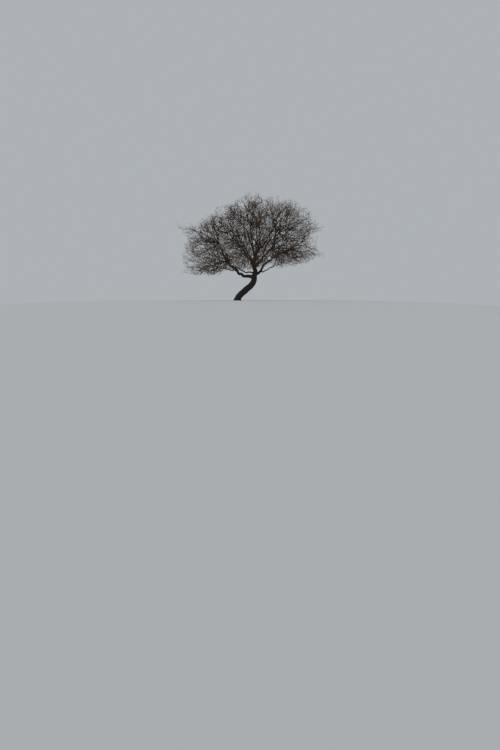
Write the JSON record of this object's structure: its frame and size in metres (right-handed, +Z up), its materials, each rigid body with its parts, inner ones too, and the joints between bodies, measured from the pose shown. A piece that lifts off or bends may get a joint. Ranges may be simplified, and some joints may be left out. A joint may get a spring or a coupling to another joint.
{
  "type": "bare winter tree",
  "caption": "Small lone tree without leaves: a short leaning trunk that forks low into spreading boughs under a wide, dense, domed crown of bare twigs.",
  "frame": {"origin": "middle of the flat cut under the trunk, at ground level", "axes": "+Z up, +X towards the side that the trunk leans to, along the crown's widest spread, +Y to the back"},
  "size_m": [6.88, 5.8139, 5],
  "materials": {
    "bark": "rough furrowed bark",
    "twig": "matt twig bark"
  },
  "bodies": {
    "root": {"bough_back": "bark", "bough_back_high": "bark", "bough_back_left": "bark", "bough_back_left_low": "bark", "bough_back_right": "bark", "bough_front": "bark", "bough_front_high": "bark", "bough_front_left": "bark", "bough_front_right": "bark", "bough_leader": "bark", "bough_left": "bark", "bough_left_back_high": "bark", "bough_left_foot": "bark", "bough_left_front": "bark", "bough_left_front_high": "bark", "bough_left_low": "bark", "bough_middle_left": "bark", "bough_middle_right": "bark", "bough_right": "bark", "bough_right_back_high": "bark", "bough_right_front": "bark", "bough_right_front_high": "bark", "bough_right_high": "bark", "bough_right_low": "bark", "trunk": "bark", "twigs_back": "twig", "twigs_back_high": "twig", "twigs_back_left": "twig", "twigs_back_left_low": "twig", "twigs_back_right": "twig", "twigs_front": "twig", "twigs_front_high": "twig", "twigs_front_left": "twig", "twigs_front_right": "twig", "twigs_leader": "twig", "twigs_left": "twig", "twigs_left_back_high": "twig", "twigs_left_front": "twig", "twigs_left_front_high": "twig", "twigs_left_low": "twig", "twigs_middle_left": "twig", "twigs_middle_right": "twig", "twigs_right": "twig", "twigs_right_back_high": "twig", "twigs_right_front": "twig", "twigs_right_front_high": "twig", "twigs_right_high": "twig", "twigs_right_low": "twig"}
  },
  "joints": []
}
